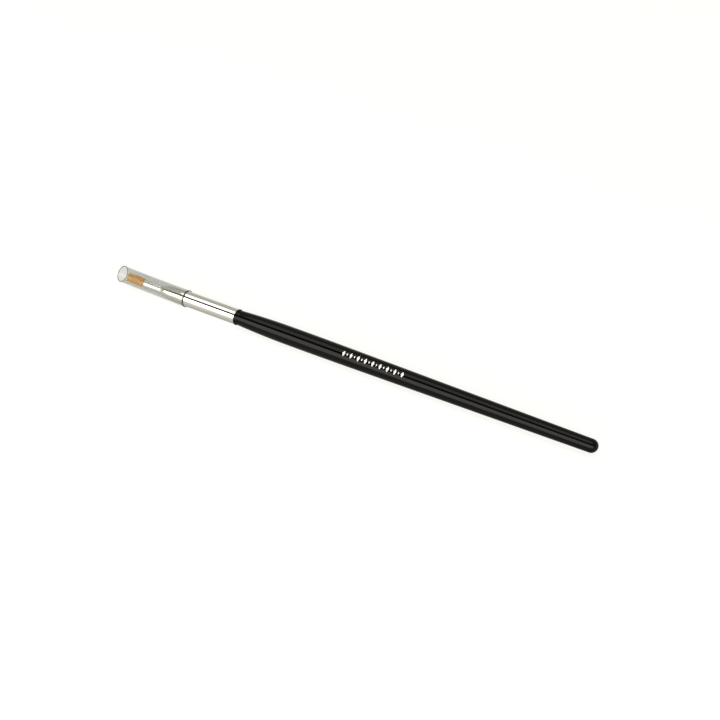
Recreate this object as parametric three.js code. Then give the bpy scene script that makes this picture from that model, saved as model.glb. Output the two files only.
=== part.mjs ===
// A fine tint brush: lacquered wooden handle, nickel-plated ferrule, straight-cut
// filament tuft, and the clear sleeve that protects the tuft.
// Millimetres, +Z up. The brush lies along X: tuft towards -X, handle butt towards +X.
// Every piece is turned about the brush axis. The origin is at the middle of the overall
// length, on the surface that the belly of the handle rests on.

import * as THREE from 'three';

// ---- driving dimensions -------------------------------------------------

// Stations along the axis, measured from the free end of the sleeve.
const OVERALL_LENGTH = 171.6;
const TUFT_TIP = 2.9;
const FERRULE_MOUTH = 9.9;
const CONE_START = 16.8;
const CONE_END = 25.4;
const TENON_START = 26.6;
const SLEEVE_LENGTH = 26.9;
const STRETCH_START = 11;
const GRIP_START = 25.4;
const CRIMP_CENTRE = 43.9;
const FERRULE_END = 46.3;
const BELLY_START = 66;
const BELLY_END = 78;

// Diameters.
const SLEEVE_FREE_DIAMETER = 5.6;
const TUFT_DIAMETER = 3.16;
const FRONT_TUBE_DIAMETER = 3.1;
const FERRULE_DIAMETER = 5.12;
const BEAD_DIAMETER = 5.38;
const NECK_DIAMETER = 4.9;
const BELLY_DIAMETER = 6.05;
const BUTT_DIAMETER = 4.27;

// Wall thicknesses and fits.
const SLEEVE_WALL = 0.25;
const FERRULE_WALL = 0.25;
const LACQUER_WALL = 0.15;
const FIT_GAP = 0.04;

// The tube leans a little where nothing holds it: how far its free end stands off the
// brush axis, and the direction in the Y-Z plane, from +Y towards +Z.
const SLEEVE_LEAN = 0.45;
const LEAN_DIRECTION = THREE.MathUtils.degToRad(47);

// Small features.
const CRIMP_WIDTH = 0.6;
const CRIMP_DEPTH = 0.02;
const MOUTH_LIP_RADIUS = 0.12;
const SHOULDER_FILLET = 0.5;
const SHOULDER_RISE = 0.2;
const BEAD_LENGTH = 1.1;
const BEAD_CROWN = 0.385;
const BEAD_EDGE_DROP = 0.18;
const TUFT_EDGE = [0.25, 0.15];
const TUFT_FLARE = 2.2;
const TUFT_CLEARANCE = 0.3;
const TENON_CHAMFER = [0.5, 0.35];

// Facets round each turned piece. One facet of every piece faces straight down.
const FACETS = 24;

// ---- shared helpers -----------------------------------------------------

// Facets are tangent to the true round, so flat-to-flat is the stated diameter.
const FACET_SCALE = 1 / Math.cos(Math.PI / FACETS);

const point = (station, radius) => new THREE.Vector2(radius, station);

// Samples any 2-D curve whose x is a station and y a radius.
function trace(curve, steps) {
  return curve.getPoints(steps).map((p) => point(p.x, p.y));
}

// A quarter ellipse from one point to another, leaving the first along the axis or radially.
function quarter(from, to, steps, leavesAlongAxis) {
  const corner = leavesAlongAxis ? [to[0], from[1]] : [from[0], to[1]];
  const centre = [from[0] + to[0] - corner[0], from[1] + to[1] - corner[1]];
  const blend = (k, angle) => centre[k]
    + (from[k] - centre[k]) * Math.cos(angle)
    + (to[k] - centre[k]) * Math.sin(angle);
  const points = [];
  for (let i = 0; i <= steps; i += 1) {
    const angle = (i / steps) * (Math.PI / 2);
    points.push(point(blend(0, angle), blend(1, angle)));
  }
  return points;
}

// Turns a profile about the brush axis. Profiles run towards +X on the outside, and
// either start and end on the axis or close on themselves.
function turned(name, profile, material) {
  const outline = profile.map((p) => new THREE.Vector2(p.x * FACET_SCALE, p.y));
  const geometry = new THREE.LatheGeometry(outline, FACETS, Math.PI / FACETS);
  geometry.rotateZ(-Math.PI / 2);
  const mesh = new THREE.Mesh(geometry, material);
  mesh.name = name;
  return mesh;
}

function finish(color, roughness, metalness) {
  return new THREE.MeshStandardMaterial({ color, roughness, metalness });
}

// A closed profile repeats its first point at the end.
function closed(profile) {
  return [...profile, profile[0].clone()];
}

// ---- handle -------------------------------------------------------------

// Outside of the handle from the neck to the middle of the butt, drawn in by an inset.
function handleOutline(inset) {
  const neck = NECK_DIAMETER / 2 - inset;
  const belly = BELLY_DIAMETER / 2 - inset;
  const butt = BUTT_DIAMETER / 2 - inset;
  const domeCentre = OVERALL_LENGTH - BUTT_DIAMETER / 2;
  const neckStart = FERRULE_END + BEAD_LENGTH;
  const swell = new THREE.QuadraticBezierCurve(
    new THREE.Vector2(neckStart, neck),
    new THREE.Vector2((neckStart + BELLY_START) / 2, belly),
    new THREE.Vector2(BELLY_START, belly),
  );
  return [
    ...trace(swell, 8),
    point(BELLY_END, belly),
    ...quarter([domeCentre, butt], [OVERALL_LENGTH - inset, 0], 8, true),
  ];
}

function handleCore() {
  const tenon = FERRULE_DIAMETER / 2 - FERRULE_WALL - FIT_GAP;
  const [chamferLength, chamferDepth] = TENON_CHAMFER;
  const coatStart = FERRULE_END + FIT_GAP + BEAD_LENGTH;
  return turned('handle_core', [
    point(TENON_START, 0),
    point(TENON_START, tenon - chamferDepth),
    point(TENON_START + chamferLength, tenon),
    point(CRIMP_CENTRE - CRIMP_WIDTH, tenon),
    point(CRIMP_CENTRE - CRIMP_WIDTH / 4, tenon - CRIMP_DEPTH),
    point(CRIMP_CENTRE + CRIMP_WIDTH / 4, tenon - CRIMP_DEPTH),
    point(CRIMP_CENTRE + CRIMP_WIDTH, tenon),
    point(coatStart, tenon - FIT_GAP),
    ...handleOutline(LACQUER_WALL + FIT_GAP).slice(1),
  ], finish(0xd9b98a, 0.7, 0));
}

// The dipped coat starts as a bead against the ferrule and closes over the butt.
function handleLacquer() {
  const start = FERRULE_END + FIT_GAP;
  const innerEdge = FERRULE_DIAMETER / 2 - FERRULE_WALL + FIT_GAP;
  const edge = [start, BEAD_DIAMETER / 2 - BEAD_EDGE_DROP];
  const crown = [start + BEAD_CROWN, BEAD_DIAMETER / 2];
  const neck = [start + BEAD_LENGTH, NECK_DIAMETER / 2];
  const inner = handleOutline(LACQUER_WALL).reverse();
  return turned('handle_lacquer', [
    ...inner.slice(0, -1),
    point(neck[0], innerEdge),
    point(start, innerEdge),
    ...quarter(edge, crown, 3, false),
    ...quarter(crown, neck, 3, true).slice(1, -1),
    ...handleOutline(0),
  ], finish(0x0b0b09, 0.12, 0));
}

// ---- ferrule ------------------------------------------------------------

// One side of the ferrule wall, from the mouth to the handle end.
function ferruleLine(inset) {
  const front = FRONT_TUBE_DIAMETER / 2 - inset;
  const main = FERRULE_DIAMETER / 2 - inset;
  const foot = new THREE.Vector2(CONE_START + SHOULDER_FILLET, front + SHOULDER_RISE);
  const top = new THREE.Vector2(CONE_END, main);
  const fillet = new THREE.QuadraticBezierCurve(
    new THREE.Vector2(CONE_START - SHOULDER_FILLET, front),
    new THREE.Vector2(CONE_START, front),
    foot,
  );
  // The cone leaves the fillet on its slope and runs out long and flat into the main tube.
  const shoulder = new THREE.CubicBezierCurve(
    foot,
    new THREE.Vector2(foot.x + SHOULDER_FILLET * 2.5, foot.y + SHOULDER_RISE * 2.5),
    new THREE.Vector2(top.x - SHOULDER_FILLET * 8, top.y - SHOULDER_RISE * 0.3),
    top,
  );
  return [
    ...trace(fillet, 3),
    ...trace(shoulder, 7).slice(1),
    point(CRIMP_CENTRE - CRIMP_WIDTH / 2, main),
    point(CRIMP_CENTRE - CRIMP_WIDTH / 4, main - CRIMP_DEPTH),
    point(CRIMP_CENTRE + CRIMP_WIDTH / 4, main - CRIMP_DEPTH),
    point(CRIMP_CENTRE + CRIMP_WIDTH / 2, main),
    point(FERRULE_END, main),
  ];
}

function ferrule() {
  const front = FRONT_TUBE_DIAMETER / 2;
  const lip = MOUTH_LIP_RADIUS;
  const rolledMouth = [
    ...quarter([FERRULE_MOUTH + lip, front - FERRULE_WALL], [FERRULE_MOUTH, front - lip], 2, true),
    ...quarter([FERRULE_MOUTH, front - lip], [FERRULE_MOUTH + lip, front], 2, false).slice(1),
  ];
  return turned('ferrule', closed([
    ...rolledMouth,
    ...ferruleLine(0),
    ...ferruleLine(FERRULE_WALL).reverse(),
  ]), finish(0xd8d6cc, 0.16, 1));
}

// ---- tuft, and what holds it --------------------------------------------

// Stations and sizes that only show when the ferrule is off.
const ROOT_RADIUS = FRONT_TUBE_DIAMETER / 2 - FERRULE_WALL - FIT_GAP;
const BINDING_START = 12.6;
const BINDING_END = 14.2;
const BINDING_DEPTH = 0.22;
const ROOT_END = 19.4;
const ROOT_EDGE = 0.08;
const GLUE_START = 15.0;
const GLUE_END = 20.6;
const GLUE_DISH = 0.35;
const GLUE_FILM = 0.3;

function bristleTuft() {
  const base = FERRULE_MOUTH - TUFT_CLEARANCE;
  const radius = TUFT_DIAMETER / 2;
  const [edgeLength, edgeDepth] = TUFT_EDGE;
  return turned('bristle_tuft', [
    point(TUFT_TIP, 0),
    point(TUFT_TIP, radius - edgeDepth),
    point(TUFT_TIP + edgeLength, radius),
    point(FERRULE_MOUTH - TUFT_FLARE, radius),
    point(base, ROOT_RADIUS),
    point(base, 0),
  ], finish(0xd2954a, 0.5, 0));
}

function tuftRoots() {
  const waist = ROOT_RADIUS - BINDING_DEPTH - FIT_GAP;
  return turned('tuft_roots', [
    point(FERRULE_MOUTH, 0),
    point(FERRULE_MOUTH, ROOT_RADIUS),
    point(BINDING_START - FIT_GAP - 2 * BINDING_DEPTH, ROOT_RADIUS),
    point(BINDING_START - FIT_GAP, waist),
    point(ROOT_END, waist - ROOT_EDGE),
    point(ROOT_END, 0),
  ], finish(0xc98b45, 0.6, 0));
}

// Three close turns of thread, drawn as one ribbed ring.
function bindingThread() {
  const inner = ROOT_RADIUS - BINDING_DEPTH;
  const turns = 3;
  const pitch = (BINDING_END - BINDING_START) / turns;
  const ribs = [point(BINDING_START, inner)];
  for (let i = 0; i < turns; i += 1) {
    const start = BINDING_START + i * pitch;
    ribs.push(point(start, ROOT_RADIUS - ROOT_EDGE));
    ribs.push(point(start + pitch / 2, ROOT_RADIUS));
  }
  ribs.push(point(BINDING_END, ROOT_RADIUS - ROOT_EDGE));
  ribs.push(point(BINDING_END, inner));
  return turned('binding_thread', closed(ribs), finish(0xe8e2d2, 0.8, 0));
}

// Glue poured in from the back: it fills the tube round the roots and covers their ends.
function rootGluePlug() {
  const bore = ROOT_RADIUS - BINDING_DEPTH;
  const main = FERRULE_DIAMETER / 2 - FERRULE_WALL - FIT_GAP;
  const dish = new THREE.QuadraticBezierCurve(
    new THREE.Vector2(CONE_START - SHOULDER_FILLET, ROOT_RADIUS),
    new THREE.Vector2(CONE_START + SHOULDER_FILLET, ROOT_RADIUS),
    new THREE.Vector2(GLUE_END, main - GLUE_DISH),
  );
  return turned('root_glue_plug', [
    point(ROOT_END + FIT_GAP, 0),
    point(ROOT_END + FIT_GAP, bore),
    point(GLUE_START, bore),
    point(GLUE_START, ROOT_RADIUS),
    ...trace(dish, 5),
    point(GLUE_END, 0),
  ], finish(0xb98d3c, 0.25, 0));
}

// The film squeezed between the end of the tenon and the bore of the ferrule.
function tenonGlue() {
  const outer = FERRULE_DIAMETER / 2 - FERRULE_WALL - FIT_GAP;
  const face = TENON_START - FIT_GAP;
  return turned('tenon_glue', [
    point(face - GLUE_FILM * 2, 0),
    point(face - GLUE_FILM, outer - GLUE_FILM),
    point(face - GLUE_FILM / 3, outer),
    point(face + GLUE_FILM / 2, outer),
    point(face, outer - GLUE_FILM),
    point(face, 0),
  ], finish(0xcfae66, 0.3, 0));
}

// ---- sleeve -------------------------------------------------------------

// The tube keeps its own size over the tuft and stretches where it grips the ferrule.
function protectiveSleeve() {
  const free = SLEEVE_FREE_DIAMETER / 2 - SLEEVE_WALL;
  const gripping = FERRULE_DIAMETER / 2 + FIT_GAP;
  const span = GRIP_START - STRETCH_START;
  const stretch = new THREE.CubicBezierCurve(
    new THREE.Vector2(STRETCH_START, free),
    new THREE.Vector2(STRETCH_START + span * 0.35, free),
    new THREE.Vector2(GRIP_START - span * 0.4, gripping),
    new THREE.Vector2(GRIP_START, gripping),
  );
  // The straight part is cut into thirds, so that it can follow the lean.
  const mouth = [0, 1, 2].map((i) => point(STRETCH_START * i / 3, free));
  const bore = [...mouth, ...trace(stretch, 8), point(SLEEVE_LENGTH, gripping)];
  const outside = bore.map((p) => point(p.y, p.x + SLEEVE_WALL));
  const sleeve = turned('protective_sleeve', closed([
    ...outside,
    ...bore.reverse(),
  ]), finish(0xb4b7b0, 0.1, 0));
  lean(sleeve.geometry);
  return sleeve;
}

// Moves each ring of the tube sideways, more and more from where it grips to its free end.
function lean(geometry) {
  const places = geometry.attributes.position;
  for (let i = 0; i < places.count; i += 1) {
    const free = Math.max(0, (GRIP_START - places.getX(i)) / GRIP_START);
    const offset = SLEEVE_LEAN * free ** 1.4;
    places.setY(i, places.getY(i) + offset * Math.cos(LEAN_DIRECTION));
    places.setZ(i, places.getZ(i) + offset * Math.sin(LEAN_DIRECTION));
  }
}

// ---- assembly -----------------------------------------------------------

const brush = new THREE.Group();
brush.position.set(-OVERALL_LENGTH / 2, 0, BELLY_DIAMETER / 2);
brush.add(
  handleCore(),
  handleLacquer(),
  ferrule(),
  tuftRoots(),
  bindingThread(),
  rootGluePlug(),
  tenonGlue(),
  bristleTuft(),
  protectiveSleeve(),
);

export default brush;
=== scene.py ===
"""A tint brush in its clear protective sleeve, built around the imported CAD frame.

Every length below is in millimetres and is turned into metres by MM. Stations run along
the brush axis from the free end of the sleeve towards the butt of the handle.
"""

import math
import random

import bmesh
import bpy
from mathutils import Matrix, Vector


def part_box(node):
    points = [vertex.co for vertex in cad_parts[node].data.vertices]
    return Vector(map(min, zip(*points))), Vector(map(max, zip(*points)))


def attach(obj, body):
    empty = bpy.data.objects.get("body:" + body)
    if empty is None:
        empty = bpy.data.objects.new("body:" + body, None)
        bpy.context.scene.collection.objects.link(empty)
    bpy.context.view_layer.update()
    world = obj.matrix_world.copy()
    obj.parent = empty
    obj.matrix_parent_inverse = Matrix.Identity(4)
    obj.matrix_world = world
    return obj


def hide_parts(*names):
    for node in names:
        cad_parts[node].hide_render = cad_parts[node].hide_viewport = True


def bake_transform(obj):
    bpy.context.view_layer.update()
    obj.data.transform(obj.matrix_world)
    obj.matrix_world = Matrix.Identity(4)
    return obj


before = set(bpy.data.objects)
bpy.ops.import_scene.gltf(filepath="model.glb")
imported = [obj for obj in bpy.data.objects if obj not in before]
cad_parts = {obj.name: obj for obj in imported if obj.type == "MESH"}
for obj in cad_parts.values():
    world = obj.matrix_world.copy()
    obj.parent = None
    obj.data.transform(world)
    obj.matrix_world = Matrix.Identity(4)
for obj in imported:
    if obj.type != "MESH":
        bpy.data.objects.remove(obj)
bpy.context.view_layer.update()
MM = 0.001

# ---- sizes that are read from the frame -----------------------------------

SLEEVE_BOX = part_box("protective_sleeve")
FERRULE_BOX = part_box("ferrule")
LACQUER_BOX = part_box("handle_lacquer")
TUFT_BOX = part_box("bristle_tuft")

START_X = SLEEVE_BOX[0][0]
AXIS_Z = (LACQUER_BOX[0][2] + LACQUER_BOX[1][2]) / 2


def along(x):
    """The station, in millimetres, of a place on the frame's X axis."""
    return (x - START_X) / MM


def width(box):
    """The diameter, in millimetres, of a node turned about the brush axis."""
    return (box[1][1] - box[0][1]) / MM


SLEEVE_LENGTH = along(SLEEVE_BOX[1][0])
TUFT_TIP = along(TUFT_BOX[0][0])
FERRULE_MOUTH = along(FERRULE_BOX[0][0])
FERRULE_END = along(FERRULE_BOX[1][0])
BUTT_END = along(LACQUER_BOX[1][0])
BELLY_RADIUS = width(LACQUER_BOX) / 2
FERRULE_RADIUS = width(FERRULE_BOX) / 2
TUFT_RADIUS = width(TUFT_BOX) / 2

# ---- sizes that the frame's boxes don't give, as in the CAD ---------------

SLEEVE_FREE_RADIUS = 2.8
SLEEVE_WALL = 0.25
STRETCH_START = 11.0
GRIP_START = 25.4
SLEEVE_LEAN = 0.45
LEAN_DIRECTION = math.radians(47)
FRONT_TUBE_RADIUS = 1.55
FERRULE_WALL = 0.25
CONE_START = 16.8
CONE_END = 25.4
SHOULDER_FILLET = 0.5
SHOULDER_RISE = 0.2
MOUTH_LIP_RADIUS = 0.12
CRIMP_CENTRE = 43.9
CRIMP_WIDTH = 0.6
CRIMP_DEPTH = 0.02
BEAD_RADIUS = 2.69
BEAD_LENGTH = 1.1
BEAD_CROWN = 0.385
BEAD_EDGE_DROP = 0.18
NECK_RADIUS = 2.45
BELLY_START = 66.0
BELLY_END = 78.0
BUTT_RADIUS = 2.135
BELLY_EASE = 9.0
LACQUER_WALL = 0.15
FIT_GAP = 0.04
ROUND_SEGMENTS = 128

# ---- view -----------------------------------------------------------------

# The camera looks down on the brush with its tuft to the left. It is aimed at a station on
# the axis, moved by VIEW_RIGHT and VIEW_UP millimetres in the picture.
VIEW_AZIMUTH = 30.0
VIEW_ELEVATION = 39.0
VIEW_DISTANCE = 0.45
VIEW_STATION = 92.8
VIEW_RIGHT = -0.62
VIEW_UP = 0.71
LENS = 72.5

# ---- geometry helpers ----------------------------------------------------


def place(station, radius, angle):
    """A point in the frame, in metres. The angle is zero towards -Y and 90 degrees upwards."""
    return Vector((
        START_X + station * MM,
        -radius * MM * math.cos(angle),
        AXIS_Z + radius * MM * math.sin(angle),
    ))


def bezier(p0, p1, p2, p3, steps):
    """Points of a cubic curve in (station, radius)."""
    points = []
    for i in range(steps + 1):
        t = i / steps
        a = (1 - t) ** 3
        b = 3 * t * (1 - t) ** 2
        c = 3 * t * t * (1 - t)
        d = t ** 3
        points.append(tuple(a * p0[k] + b * p1[k] + c * p2[k] + d * p3[k] for k in range(2)))
    return points


def quarter(start, end, steps, leaves_along_axis):
    """A quarter ellipse in (station, radius), without its first point."""
    if leaves_along_axis:
        centre = (start[0], end[1])
    else:
        centre = (end[0], start[1])
    points = []
    for i in range(1, steps + 1):
        angle = i / steps * math.pi / 2
        a = math.cos(angle)
        b = math.sin(angle)
        points.append(tuple(
            centre[k] + (start[k] - centre[k]) * a + (end[k] - centre[k]) * b
            for k in range(2)
        ))
    return points


def make_object(name, vertices, faces, sharp_degrees=35):
    """A smooth-shaded object with its faces turned outwards."""
    mesh = bpy.data.meshes.new(name)
    mesh.from_pydata([tuple(v) for v in vertices], [], faces)
    work = bmesh.new()
    work.from_mesh(mesh)
    bmesh.ops.recalc_face_normals(work, faces=work.faces)
    work.to_mesh(mesh)
    work.free()
    mesh.shade_smooth()
    mesh.set_sharp_from_angle(angle=math.radians(sharp_degrees))
    obj = bpy.data.objects.new(name, mesh)
    bpy.context.scene.collection.objects.link(obj)
    return obj


def turn(name, profile, closes=False, segments=ROUND_SEGMENTS):
    """Revolves a profile about the brush axis.

    The profile closes on itself, or starts and ends on the axis.
    """
    vertices = []
    rings = []
    for station, radius in profile:
        first = len(vertices)
        if radius < 1e-6:
            vertices.append(place(station, 0, 0))
            rings.append([first] * segments)
            continue
        for i in range(segments):
            vertices.append(place(station, radius, 2 * math.pi * i / segments))
        rings.append(list(range(first, first + segments)))
    if closes:
        rings.append(rings[0])
    faces = []
    for low, high in zip(rings, rings[1:]):
        for i in range(segments):
            j = (i + 1) % segments
            corners = [low[i], low[j], high[j], high[i]]
            face = list(dict.fromkeys(corners))
            if len(face) > 2:
                faces.append(face)
    return make_object(name, vertices, faces)


# ---- handle ---------------------------------------------------------------


def handle_outline(inset):
    """From the neck to the middle of the butt, drawn in by an inset."""
    neck_start = FERRULE_END + BEAD_LENGTH
    belly = BELLY_RADIUS - inset
    middle = (neck_start + BELLY_START) / 2
    neck = (neck_start, NECK_RADIUS - inset)
    dome = (BUTT_END - BUTT_RADIUS, BUTT_RADIUS - inset)
    swell = bezier(
        neck,
        (neck_start + (middle - neck_start) * 2 / 3, neck[1] + (belly - neck[1]) * 2 / 3),
        (BELLY_START + (middle - BELLY_START) * 2 / 3, belly),
        (BELLY_START, belly),
        24,
    )
    taper = (BELLY_RADIUS - BUTT_RADIUS) / (dome[0] - BELLY_END)
    ease = BELLY_EASE
    relax = bezier(
        (BELLY_END - ease, belly),
        (BELLY_END - ease / 3, belly),
        (BELLY_END + ease / 3, belly - taper * ease / 3),
        (BELLY_END + ease, belly - taper * ease),
        12,
    )
    return [
        *swell,
        *relax,
        dome,
        *quarter(dome, (BUTT_END - inset, 0), 20, True),
    ]


def make_handle():
    start = FERRULE_END + FIT_GAP
    edge = (start, BEAD_RADIUS - BEAD_EDGE_DROP)
    crown = (start + BEAD_CROWN, BEAD_RADIUS)
    foot = (start + BEAD_LENGTH, NECK_RADIUS + 0.01)
    inner_edge = FERRULE_RADIUS - FERRULE_WALL + FIT_GAP
    fall = bezier(crown, (crown[0] + 0.3, crown[1]), (foot[0] - 0.35, foot[1]), foot, 8)
    outside = [
        edge,
        *quarter(edge, crown, 6, False),
        *fall[1:-1],
        *handle_outline(0),
    ]
    inside = handle_outline(LACQUER_WALL)
    inside.reverse()
    profile = [
        *inside[:-1],
        (start + BEAD_LENGTH, inner_edge),
        (start, inner_edge),
        *outside,
    ]
    obj = turn("handle_gloss_coat", profile)
    obj.data.materials.append(lacquer_material())
    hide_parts("handle_lacquer")
    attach(obj, "root")
    return obj


def handle_radius(station):
    """The radius of the finished handle on its long taper."""
    outline = handle_outline(0)
    for (s0, r0), (s1, r1) in zip(outline, outline[1:]):
        if s0 <= station <= s1 and s1 > s0:
            return r0 + (r1 - r0) * (station - s0) / (s1 - s0)
    return BELLY_RADIUS


# Foil ornament on the side of the handle that faces up and forwards: long lozenges with
# small dots between them.
ORNAMENT_START = 87.2
ORNAMENT_END = 107.8
ORNAMENT_ANGLE = math.radians(57)
ORNAMENT_MARKS = 17
LOZENGE_HEIGHT = 1.75
LOZENGE_HALF_LENGTH = (0.05, 0.42)
DOT_HEIGHT = 0.735
DOT_HALF_LENGTH = (0.04, 0.2)
FOIL_PROUD = 0.006
FOIL_SUNK = 0.03


def foil_mark(vertices, faces, station, height, half_length):
    """One closed sliver of foil that follows the round of the handle.

    Its half length is given in two parts: that of its upper and lower points, and how much
    longer its middle is.
    """
    steps = 12
    at_point, added = half_length
    radius = handle_radius(station)
    rows = []
    for i in range(steps + 1):
        t = i / steps * 2 - 1
        angle = ORNAMENT_ANGLE + t * height / 2 / radius
        reach = at_point + added * (1 - abs(t))
        row = []
        for lift in (FOIL_PROUD, -FOIL_SUNK):
            for side in (-1, 1):
                at = station + side * reach
                row.append(len(vertices))
                vertices.append(place(at, handle_radius(at) + lift, angle))
        rows.append(row)
    for low, high in zip(rows, rows[1:]):
        faces.append((low[0], high[0], high[1], low[1]))
        faces.append((low[3], high[3], high[2], low[2]))
        faces.append((low[2], high[2], high[0], low[0]))
        faces.append((low[1], high[1], high[3], low[3]))
    first = rows[0]
    last = rows[-1]
    faces.append((first[0], first[1], first[3], first[2]))
    faces.append((last[0], last[2], last[3], last[1]))


def make_ornament():
    vertices = []
    faces = []
    pitch = (ORNAMENT_END - ORNAMENT_START) / (ORNAMENT_MARKS - 1)
    for i in range(ORNAMENT_MARKS):
        station = ORNAMENT_START + i * pitch
        if i % 2 == 0:
            foil_mark(vertices, faces, station, LOZENGE_HEIGHT, LOZENGE_HALF_LENGTH)
        else:
            foil_mark(vertices, faces, station, DOT_HEIGHT, DOT_HALF_LENGTH)
    obj = make_object("foil_ornament", vertices, faces)
    obj.data.materials.append(foil_material())
    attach(obj, "root")
    return obj


# ---- ferrule --------------------------------------------------------------


def ferrule_line(inset):
    """One side of the ferrule wall, from behind the mouth to the handle end."""
    front = FRONT_TUBE_RADIUS - inset
    main = FERRULE_RADIUS - inset
    foot = (CONE_START + SHOULDER_FILLET, front + SHOULDER_RISE)
    fillet = bezier(
        (CONE_START - SHOULDER_FILLET, front),
        (CONE_START - SHOULDER_FILLET / 3, front),
        (CONE_START + SHOULDER_FILLET / 3, front + SHOULDER_RISE / 3),
        foot,
        10,
    )
    # The cone leaves the fillet on its slope and runs out long and flat into the main tube.
    shoulder = bezier(
        foot,
        (foot[0] + SHOULDER_FILLET * 2.5, foot[1] + SHOULDER_RISE * 2.5),
        (CONE_END - SHOULDER_FILLET * 8, main - SHOULDER_RISE * 0.3),
        (CONE_END, main),
        30,
    )
    crimp = []
    steps = 12
    for i in range(steps + 1):
        t = i / steps
        dip = CRIMP_DEPTH * (1 - math.cos(2 * math.pi * t)) / 2
        crimp.append((CRIMP_CENTRE + (t - 0.5) * CRIMP_WIDTH, main - dip))
    return [*fillet, *shoulder[1:], *crimp, (FERRULE_END, main)]


def make_ferrule():
    lip = MOUTH_LIP_RADIUS
    inner = (FERRULE_MOUTH + lip, FRONT_TUBE_RADIUS - FERRULE_WALL)
    tip = (FERRULE_MOUTH, FRONT_TUBE_RADIUS - lip)
    outer = (FERRULE_MOUTH + lip, FRONT_TUBE_RADIUS)
    inside = ferrule_line(FERRULE_WALL)
    inside.reverse()
    profile = [
        inner,
        *quarter(inner, tip, 5, True),
        *quarter(tip, outer, 5, False),
        *ferrule_line(0),
        *inside,
    ]
    obj = turn("ferrule_shell", profile, closes=True)
    obj.data.materials.append(nickel_material())
    obj.data.materials.append(satin_nickel_material())

    # The narrow front tube takes the duller finish.
    for polygon in obj.data.polygons:
        stations = [along(obj.data.vertices[v].co.x) for v in polygon.vertices]
        if max(stations) < CONE_START:
            polygon.material_index = 1
    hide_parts("ferrule")
    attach(obj, "root")
    return obj


# ---- tuft -----------------------------------------------------------------

FILAMENT_RADIUS = 0.062
FILAMENT_SIDES = 6
FILAMENT_STEPS = 9
FILAMENT_SPACING = 2.12
ROOT_DEPTH = 1.4
ROOT_CLEARANCE = 0.07
FLARE_START = 0.1
FLARE_LENGTH = 2.2
SPREAD_OF_TIPS = 0.05
SPREAD_OF_SWAY = 0.035


def filament_places():
    """A hexagonal packing of unit-disc places, one for each filament."""
    spacing = FILAMENT_RADIUS * FILAMENT_SPACING / (TUFT_RADIUS - FILAMENT_RADIUS)
    rows = int(1 / (spacing * math.sqrt(3) / 2)) + 1
    places = []
    for row in range(-rows, rows + 1):
        for column in range(-rows, rows + 1):
            y = (column + (row % 2) / 2) * spacing
            z = row * spacing * math.sqrt(3) / 2
            if math.hypot(y, z) <= 1:
                places.append((y, z))
    return places


def filament_line(rng, unit_y, unit_z):
    """Points of one filament from its root to its tip, each a station, y, z and radius."""
    root_radius = FRONT_TUBE_RADIUS - FERRULE_WALL - ROOT_CLEARANCE
    tuft_radius = TUFT_RADIUS - FILAMENT_RADIUS - 0.02
    root = FERRULE_MOUTH + ROOT_DEPTH
    tip = TUFT_TIP + abs(rng.gauss(0, SPREAD_OF_TIPS))
    sway_y = rng.gauss(0, SPREAD_OF_SWAY)
    sway_z = rng.gauss(0, SPREAD_OF_SWAY)
    line = []
    for step in range(FILAMENT_STEPS + 1):
        t = step / FILAMENT_STEPS
        station = root + (tip - root) * t
        flare = min(1, max(0, (FERRULE_MOUTH - FLARE_START - station) / FLARE_LENGTH))
        flare = flare * flare * (3 - 2 * flare)
        spread = root_radius + (tuft_radius - root_radius) * flare
        sway = math.sin(math.pi * t) * flare
        y = unit_y * spread + sway_y * sway
        z = unit_z * spread + sway_z * sway
        reach = math.hypot(y, z)
        if reach > tuft_radius:
            y *= tuft_radius / reach
            z *= tuft_radius / reach
        line.append((station, y, z, FILAMENT_RADIUS * (1 - 0.35 * t ** 3)))
    return line


def add_filament(vertices, faces, line):
    """A thin closed tube along the points of a filament."""
    rings = []
    for station, y, z, radius in line:
        first = len(vertices)
        for side in range(FILAMENT_SIDES):
            angle = 2 * math.pi * side / FILAMENT_SIDES
            vertices.append(Vector((
                START_X + station * MM,
                (y + radius * math.cos(angle)) * MM,
                AXIS_Z + (z + radius * math.sin(angle)) * MM,
            )))
        rings.append(list(range(first, first + FILAMENT_SIDES)))
    for low, high in zip(rings, rings[1:]):
        for side in range(FILAMENT_SIDES):
            following = (side + 1) % FILAMENT_SIDES
            faces.append((low[side], high[side], high[following], low[following]))
    faces.append(tuple(rings[0]))
    faces.append(tuple(reversed(rings[-1])))


def make_tuft():
    rng = random.Random(11)
    vertices = []
    faces = []
    tones = []
    for unit_y, unit_z in filament_places():
        add_filament(vertices, faces, filament_line(rng, unit_y, unit_z))
        tone = rng.random()
        tones.extend([tone] * (len(vertices) - len(tones)))
    obj = make_object("tuft_filaments", vertices, faces, sharp_degrees=70)
    attribute = obj.data.attributes.new("tone", "FLOAT", "POINT")
    attribute.data.foreach_set("value", tones)
    obj.data.materials.append(filament_material())
    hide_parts("bristle_tuft")
    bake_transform(obj)
    return obj


# ---- sleeve ---------------------------------------------------------------

# How far the dark look of each cut end runs into the wall.
FREE_EDGE = 0.12
GRIP_EDGE = 0.55
END_ROUNDING = 0.05
RING_SPACING = 1.5


def lean(mesh):
    """Moves each ring of the tube sideways, more and more from where it grips to its free end."""
    for vertex in mesh.vertices:
        free = max(0, (GRIP_START - along(vertex.co.x)) / GRIP_START)
        offset = SLEEVE_LEAN * MM * free ** 1.4
        vertex.co.y += offset * math.cos(LEAN_DIRECTION)
        vertex.co.z += offset * math.sin(LEAN_DIRECTION)


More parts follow.
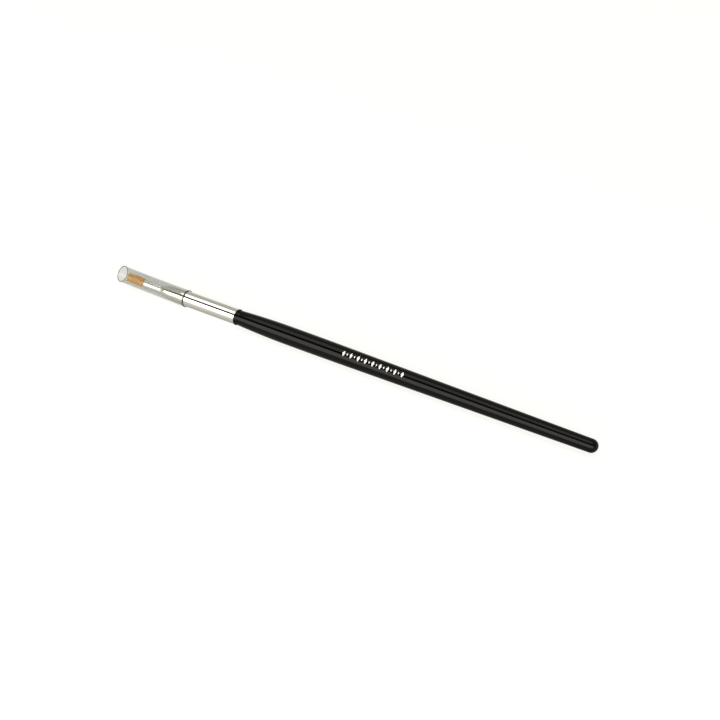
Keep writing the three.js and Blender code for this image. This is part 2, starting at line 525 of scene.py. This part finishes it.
def make_sleeve():
    free = SLEEVE_FREE_RADIUS - SLEEVE_WALL
    gripping = FERRULE_RADIUS + FIT_GAP
    stretch = bezier(
        (STRETCH_START, free),
        (STRETCH_START + 5, free),
        (GRIP_START - 5.9, gripping),
        (GRIP_START, gripping),
        24,
    )
    straight = [(i * RING_SPACING, free) for i in range(1, 7)]
    bore = [
        (END_ROUNDING, free),
        (FREE_EDGE, free),
        *straight,
        *stretch,
        (SLEEVE_LENGTH - GRIP_EDGE, gripping),
        (SLEEVE_LENGTH - END_ROUNDING, gripping),
    ]
    outside = [(station, radius + SLEEVE_WALL) for station, radius in bore]
    bore.reverse()
    start_edge = [
        (0, free + END_ROUNDING),
        (0, free + SLEEVE_WALL - END_ROUNDING),
    ]
    end_edge = [
        (SLEEVE_LENGTH, gripping + SLEEVE_WALL - END_ROUNDING),
        (SLEEVE_LENGTH, gripping + END_ROUNDING),
    ]
    profile = [*start_edge, *outside, *end_edge, *bore]
    obj = turn("clear_sleeve", profile, closes=True)
    obj.data.materials.append(sleeve_material())
    obj.data.materials.append(sleeve_edge_material())

    # The faces of the two cut ends take the second material.
    slack = 0.01
    for polygon in obj.data.polygons:
        stations = [along(obj.data.vertices[v].co.x) for v in polygon.vertices]
        free_end = max(stations) < FREE_EDGE + slack
        grip_end = min(stations) > SLEEVE_LENGTH - GRIP_EDGE - slack
        if free_end or grip_end:
            polygon.material_index = 1
    lean(obj.data)
    # The metal under the tube reflects the room as if the tube were not there, because a
    # clear tube takes far less light from it than its grey tone would.
    obj.visible_glossy = False
    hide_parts("protective_sleeve")
    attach(obj, "sleeve")
    return obj


# ---- materials ------------------------------------------------------------


class Surface:
    """A node material with one Principled shader, and short ways to add to it."""

    def __init__(self, name, **values):
        self.material = bpy.data.materials.new(name)
        self.material.use_nodes = True
        self.nodes = self.material.node_tree.nodes
        self.links = self.material.node_tree.links
        self.shader = next(n for n in self.nodes if n.type == "BSDF_PRINCIPLED")
        for socket, value in values.items():
            self.shader.inputs[socket.replace("_", " ")].default_value = value
        self.coordinates = self.nodes.new("ShaderNodeTexCoord")

    def noise(self, stretch, detail=3.0, roughness=0.55):
        """Noise with stretch grains to the metre on each axis."""
        mapping = self.nodes.new("ShaderNodeMapping")
        mapping.inputs["Scale"].default_value = stretch
        self.links.new(self.coordinates.outputs["Object"], mapping.inputs["Vector"])
        noise = self.nodes.new("ShaderNodeTexNoise")
        noise.inputs["Scale"].default_value = 1.0
        noise.inputs["Detail"].default_value = detail
        noise.inputs["Roughness"].default_value = roughness
        self.links.new(mapping.outputs["Vector"], noise.inputs["Vector"])
        return noise.outputs["Fac"]

    def remap(self, value, low, high, from_low=0.3, from_high=0.7):
        """A value carried from one range to another, held at both ends."""
        node = self.nodes.new("ShaderNodeMapRange")
        node.inputs["From Min"].default_value = from_low
        node.inputs["From Max"].default_value = from_high
        node.inputs["To Min"].default_value = low
        node.inputs["To Max"].default_value = high
        self.links.new(value, node.inputs["Value"])
        return node.outputs["Result"]

    def ramp(self, value, *stops):
        """A colour for each value. A stop is a position and a colour."""
        node = self.nodes.new("ShaderNodeValToRGB")
        elements = node.color_ramp.elements
        while len(elements) < len(stops):
            elements.new(0.5)
        for element, (position, colour) in zip(elements, stops):
            element.position = position
            element.color = (*colour, 1)
        self.links.new(value, node.inputs["Fac"])
        return node.outputs["Color"]

    def bump(self, height, distance):
        """Relief of a depth given in metres."""
        node = self.nodes.new("ShaderNodeBump")
        node.inputs["Distance"].default_value = distance
        node.inputs["Strength"].default_value = 1.0
        self.links.new(height, node.inputs["Height"])
        self.links.new(node.outputs["Normal"], self.shader.inputs["Normal"])

    def drive(self, socket, value):
        """Feeds a shader socket from another node's output."""
        self.links.new(value, self.shader.inputs[socket])


# Each noise stretch below is in grains per metre, on X, Y and Z.


def lacquer_material():
    """Dipped black gloss: a faint orange peel, with a little handling haze."""
    s = Surface("black_lacquer", Metallic=0.0, IOR=1.25, Roughness=0.09)
    haze = s.noise((180, 500, 500))
    black = s.ramp(haze, (0.3, (0.0006, 0.0005, 0.0002)), (0.8, (0.0012, 0.0011, 0.0006)))
    s.drive("Base Color", black)
    s.drive("Roughness", s.remap(haze, 0.075, 0.12))
    s.bump(s.noise((500, 1400, 1400), detail=1.5), 0.000004)
    return s.material


def nickel_material():
    """Bright plated tube with fine drawing lines along it."""
    s = Surface("nickel_plate", Metallic=1.0, Roughness=0.14)
    lines = s.noise((260, 9000, 9000), detail=4.0)
    bloom = s.noise((140, 420, 420))
    s.drive("Base Color", s.ramp(bloom, (0.25, (0.74, 0.72, 0.65)), (0.8, (0.82, 0.80, 0.74))))
    s.drive("Roughness", s.remap(lines, 0.04, 0.085))
    s.bump(lines, 0.0000006)
    return s.material


def satin_nickel_material():
    """The drawn-down front of the same tube, which the drawing leaves duller."""
    s = Surface("satin_nickel", Metallic=1.0, Roughness=0.3)
    lines = s.noise((260, 9000, 9000), detail=4.0)
    s.drive("Base Color", s.ramp(lines, (0.3, (0.86, 0.85, 0.80)), (0.7, (0.93, 0.92, 0.88))))
    s.drive("Roughness", s.remap(lines, 0.24, 0.34))
    s.bump(lines, 0.000001)
    return s.material


def foil_material():
    """Stamped foil, slightly broken up where it did not take."""
    s = Surface("stamped_foil", Metallic=0.6, Roughness=0.38)
    specks = s.noise((6000, 6000, 6000), detail=2.0)
    s.drive("Base Color", s.ramp(specks, (0.3, (0.62, 0.61, 0.57)), (0.55, (0.88, 0.87, 0.83))))
    s.drive("Roughness", s.remap(specks, 0.5, 0.3))
    s.bump(specks, 0.000004)
    return s.material


def filament_material():
    """Orange at the ferrule, fading to a paler gold at the cut ends."""
    s = Surface("filament", Roughness=0.3, IOR=1.33, Transmission_Weight=0.12)
    split = s.nodes.new("ShaderNodeSeparateXYZ")
    s.links.new(s.coordinates.outputs["Object"], split.inputs["Vector"])
    low = START_X + TUFT_TIP * MM
    high = START_X + FERRULE_MOUTH * MM
    reach = s.remap(split.outputs["X"], 0, 1, low, high)
    length_colour = s.ramp(
        reach,
        (0.0, (0.92, 0.62, 0.12)),
        (0.45, (1.0, 0.50, 0.04)),
        (1.0, (1.0, 0.39, 0.02)),
    )
    tone = s.nodes.new("ShaderNodeAttribute")
    tone.attribute_name = "tone"
    shade = s.ramp(
        tone.outputs["Fac"],
        (0.0, (0.45, 0.36, 0.28)),
        (0.3, (0.85, 0.82, 0.78)),
        (1.0, (1.0, 1.0, 1.0)),
    )
    mix = s.nodes.new("ShaderNodeMix")
    mix.data_type = "RGBA"
    mix.blend_type = "MULTIPLY"
    mix.inputs[0].default_value = 1.0
    s.links.new(length_colour, mix.inputs[6])
    s.links.new(shade, mix.inputs[7])
    s.drive("Base Color", mix.outputs[2])
    s.drive("Roughness", s.remap(s.noise((2500, 9000, 9000)), 0.22, 0.4))
    return s.material


def sleeve_material():
    """Clear flexible tube with soft extrusion lines along it; its grey tone is painted shade.

    Alpha also thins the gloss, so the IOR stands above that of the plastic to keep the
    shine of a real tube.
    """
    s = Surface("clear_tube", Roughness=0.05, IOR=1.6, Alpha=0.22)
    lines = s.noise((60, 1500, 1500), detail=2.0)
    # Painted shade: the near-black colour at low alpha darkens all that shows through the tube,
    # far more than a clear tube would; the noise adds the extrusion lines.
    s.drive("Base Color", s.ramp(lines, (0.2, (0.12, 0.125, 0.095)), (0.8, (0.18, 0.185, 0.145))))
    s.drive("Roughness", s.remap(lines, 0.04, 0.1))
    s.bump(lines, 0.000006)
    return s.material


def sleeve_edge_material():
    """The cut ends, where the light has run the length of the wall."""
    s = Surface("clear_tube_cut_edge", Roughness=0.35, IOR=1.4, Alpha=0.97)
    grain = s.noise((3000, 3000, 3000))
    s.drive("Base Color", s.ramp(grain, (0.3, (0.02, 0.036, 0.038)), (0.7, (0.045, 0.07, 0.072))))
    s.bump(grain, 0.00001)
    return s.material


def wood_material():
    """Pale turned hardwood with its grain along the handle."""
    s = Surface("handle_wood", Roughness=0.65)
    grain = s.noise((120, 2600, 2600), detail=6.0)
    s.drive("Base Color", s.ramp(grain, (0.3, (0.50, 0.33, 0.17)), (0.7, (0.72, 0.54, 0.33))))
    s.bump(grain, 0.00002)
    return s.material


def glue_material():
    """Amber cured resin with a few cloudy places."""
    s = Surface("cured_glue", Roughness=0.25, Transmission_Weight=0.4, IOR=1.5)
    cloud = s.noise((1200, 1200, 1200))
    s.drive("Base Color", s.ramp(cloud, (0.3, (0.48, 0.30, 0.08)), (0.7, (0.70, 0.52, 0.22))))
    return s.material


def thread_material():
    """Undyed tying thread, with its twist across the turns."""
    s = Surface("binding_thread", Roughness=0.85)
    fibres = s.noise((9000, 1800, 1800), detail=5.0)
    s.drive("Base Color", s.ramp(fibres, (0.3, (0.60, 0.55, 0.45)), (0.7, (0.85, 0.81, 0.72))))
    s.bump(fibres, 0.00003)
    return s.material


def finish_inner_nodes():
    """The pieces that only show when the brush is taken apart keep their CAD shape."""
    glue = glue_material()
    finishes = {
        "handle_core": wood_material(),
        "tuft_roots": bpy.data.materials["filament"],
        "binding_thread": thread_material(),
        "root_glue_plug": glue,
        "tenon_glue": glue,
    }
    for node, material in finishes.items():
        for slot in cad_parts[node].material_slots:
            slot.material = material


# ---- studio ---------------------------------------------------------------


def view_direction():
    azimuth = math.radians(VIEW_AZIMUTH)
    elevation = math.radians(VIEW_ELEVATION)
    return Vector((
        math.sin(azimuth) * math.cos(elevation),
        -math.cos(azimuth) * math.cos(elevation),
        math.sin(elevation),
    ))


def aim(obj, target):
    obj.rotation_euler = (Vector(target) - obj.location).to_track_quat("-Z", "Y").to_euler()


def make_camera():
    data = bpy.data.cameras.new("camera")
    data.lens = LENS
    data.sensor_width = 36
    data.clip_start = 0.01
    camera = bpy.data.objects.new("camera", data)
    bpy.context.scene.collection.objects.link(camera)
    direction = view_direction()
    right = Vector((0, 0, 1)).cross(direction).normalized()
    up = direction.cross(right)
    target = place(VIEW_STATION, 0, 0) + (right * VIEW_RIGHT + up * VIEW_UP) * MM
    camera.location = target + direction * VIEW_DISTANCE
    aim(camera, target)
    bpy.context.scene.camera = camera


def make_softbox(name, low_degrees, high_degrees, distance, length, shift, radiance, colour):
    """A long softbox beside the brush axis.

    Seen from the axis, it lies between two angles above the -Y horizon.
    """
    middle = math.radians((low_degrees + high_degrees) / 2)
    half = math.radians((high_degrees - low_degrees) / 2)
    breadth = 2 * distance * math.tan(half)
    data = bpy.data.lights.new(name, "AREA")
    data.shape = "RECTANGLE"
    data.size = length
    data.size_y = breadth
    data.energy = radiance * math.pi * length * breadth
    data.color = colour
    light = bpy.data.objects.new(name, data)
    bpy.context.scene.collection.objects.link(light)
    centre = Vector((0, 0, AXIS_Z))
    offset = Vector((0, -math.cos(middle), math.sin(middle))) * distance
    light.location = centre + offset + Vector((shift, 0, 0))
    forward = offset.normalized()
    along_brush = Vector((1, 0, 0))
    up = forward.cross(along_brush)
    rotation = [[along_brush[i], up[i], forward[i]] for i in range(3)]
    light.rotation_euler = Matrix(rotation).to_euler()
    light.visible_camera = False


def make_flag(low_degrees, high_degrees, distance, length):
    """A black card between the softboxes, which draws the thin dark line along the gloss."""
    corners = []
    for degrees, sides in ((low_degrees, (-1, 1)), (high_degrees, (1, -1))):
        angle = math.radians(degrees)
        for side in sides:
            corners.append((
                side * length / 2,
                -distance * math.cos(angle),
                AXIS_Z + distance * math.sin(angle),
            ))
    flag = make_object("black_flag", corners, [(0, 1, 2, 3)])
    s = Surface("black_card", Roughness=0.95, Specular_IOR_Level=0.0)
    s.shader.inputs["Base Color"].default_value = (0.01, 0.01, 0.01, 1)
    flag.data.materials.append(s.material)
    flag.visible_camera = False
    flag.visible_shadow = False


def make_world():
    world = bpy.data.worlds.new("studio")
    world.use_nodes = True
    nodes = world.node_tree.nodes
    links = world.node_tree.links
    coordinates = nodes.new("ShaderNodeTexCoord")
    split = nodes.new("ShaderNodeSeparateXYZ")
    shade = nodes.new("ShaderNodeMapRange")
    ramp = nodes.new("ShaderNodeValToRGB")
    shade.inputs["From Min"].default_value = -1
    shade.inputs["From Max"].default_value = 1
    stops = [(0.0, 0.46), (0.4, 0.84), (0.5, 1.0), (0.6, 0.52), (1.0, 0.52)]
    elements = ramp.color_ramp.elements
    while len(elements) < len(stops):
        elements.new(0.5)
    for element, (position, grey) in zip(elements, stops):
        element.position = position
        element.color = (grey, grey * 0.985, grey * 0.93, 1)
    links.new(coordinates.outputs["Generated"], split.inputs["Vector"])
    links.new(split.outputs["Z"], shade.inputs["Value"])
    links.new(shade.outputs["Result"], ramp.inputs["Fac"])
    links.new(ramp.outputs["Color"], nodes["Background"].inputs["Color"])
    bpy.context.scene.world = world


def make_floor():
    half = 15.0
    corners = [(-half, -half, 0), (half, -half, 0), (half, half, 0), (-half, half, 0)]
    floor = make_object("floor", corners, [(0, 1, 2, 3)])
    s = Surface("floor_paper", Roughness=0.9, Specular_IOR_Level=0.0)
    s.shader.inputs["Base Color"].default_value = (0.2, 0.2, 0.197, 1)
    s.shader.inputs["Emission Color"].default_value = (1.0, 1.0, 0.975, 1)
    s.shader.inputs["Emission Strength"].default_value = 0.82
    floor.data.materials.append(s.material)
    floor.visible_glossy = False


def make_studio():
    make_camera()
    make_world()
    make_floor()
    make_softbox("front_softbox", 3, 44.5, 0.9, 2.55, 0.02, 3.6, (1.0, 0.975, 0.92))
    make_softbox("overhead_softbox", 71, 105, 0.9, 0.94, -0.15, 1.7, (1.0, 0.985, 0.94))
    make_flag(47.5, 67.5, 0.95, 3.0)
    view = bpy.context.scene.view_settings
    view.view_transform = "Standard"
    view.look = "None"


make_studio()
make_handle()
make_ornament()
make_ferrule()
make_tuft()
make_sleeve()
finish_inner_nodes()
